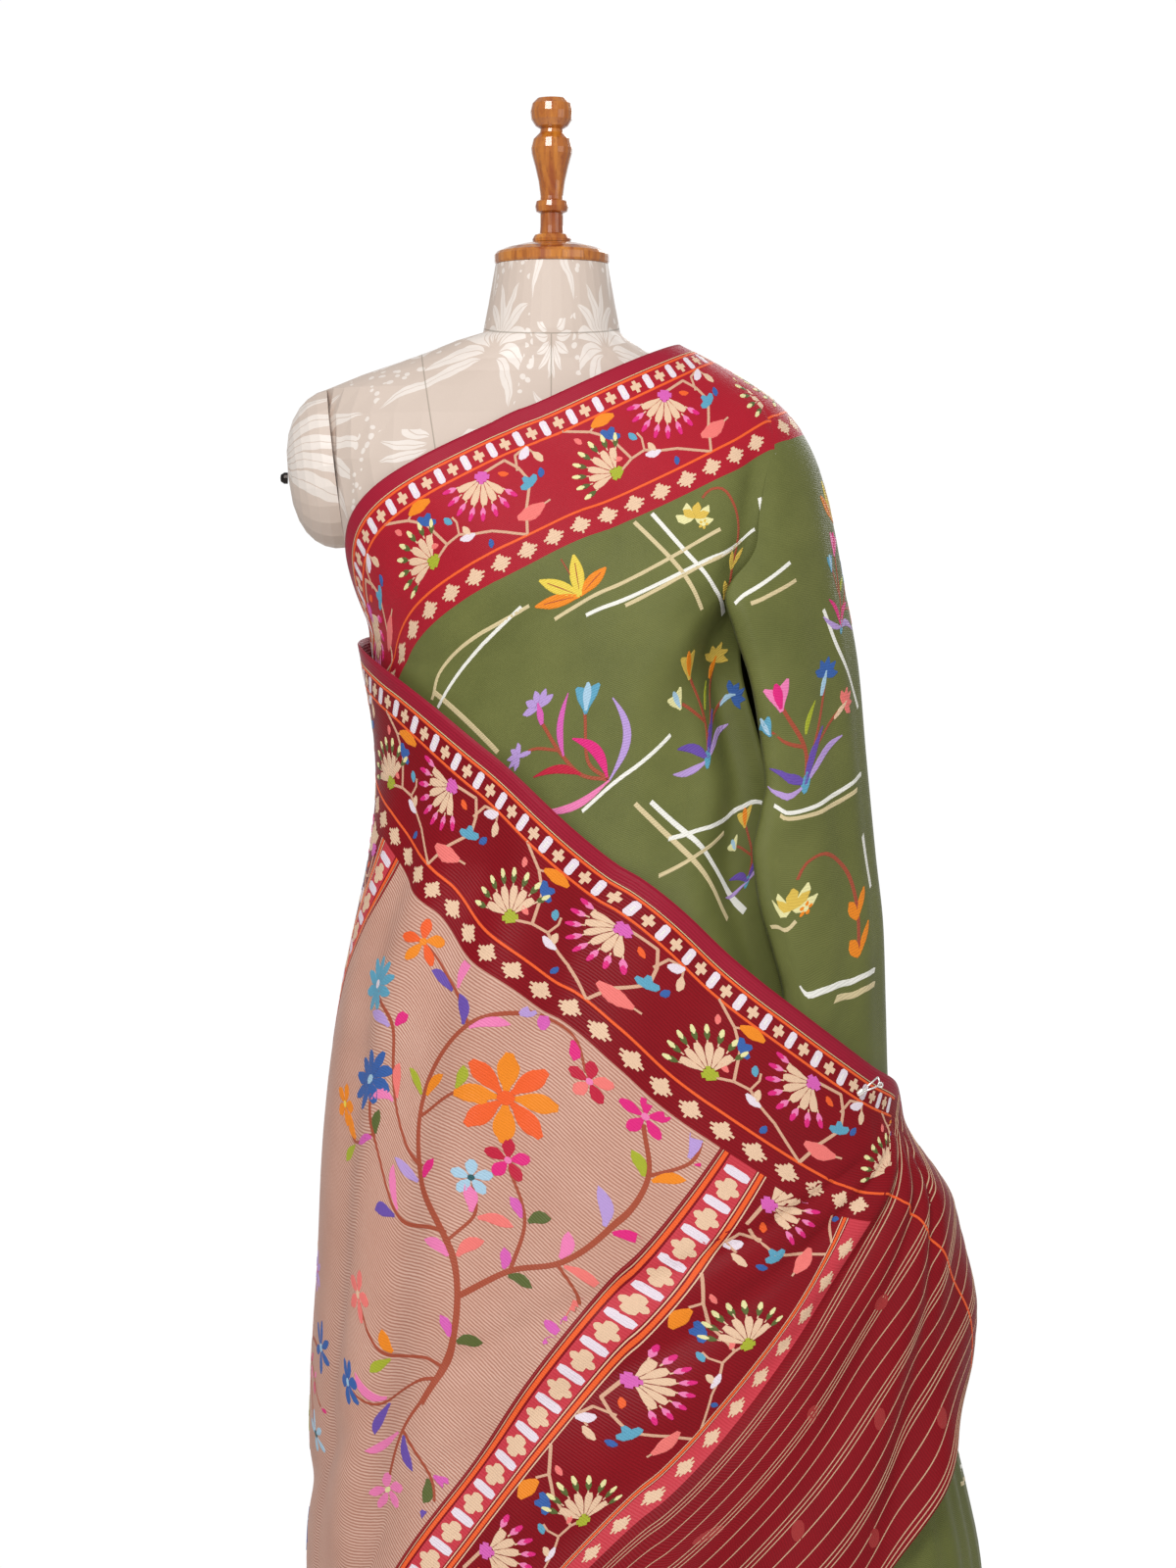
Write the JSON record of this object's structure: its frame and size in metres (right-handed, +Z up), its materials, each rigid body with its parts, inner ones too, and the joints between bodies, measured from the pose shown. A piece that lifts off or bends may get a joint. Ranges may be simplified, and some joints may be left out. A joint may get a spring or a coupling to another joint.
{
  "type": "silk saree on a dress form",
  "caption": "Olive silk saree with a woven flower border and crimson and beige end, wound over one shoulder of a limbless dress form on a turned stand",
  "frame": {"origin": "centre of the stand base's underside, on the floor under the pole", "axes": "+Z up, +Y towards the back, +X towards the form's left side, which carries the shoulder fall"},
  "size_m": [0.63, 0.4439, 1.721],
  "materials": {
    "olive_silk": "soft silk sheen",
    "crimson_silk": "soft silk sheen",
    "damask": "satin figure on a matt ground",
    "turned_wood": "gloss lacquer",
    "pin_steel": "polished",
    "dark_metal": "dark lacquer"
  },
  "bodies": {
    "root": {"form_torso": "damask", "form_arm_right": "damask", "form_arm_left": "damask", "arm_knob": "dark_metal", "neck_disc": "turned_wood", "finial": "turned_wood", "pole": "turned_wood", "stand_base": "turned_wood", "front_pleats": "olive_silk", "skirt_wrap": "olive_silk", "chest_stretch": "olive_silk", "shoulder_fall": "olive_silk", "back_stretch": "olive_silk", "pallu_front": "crimson_silk", "hip_pin": "pin_steel"}
  },
  "joints": []
}
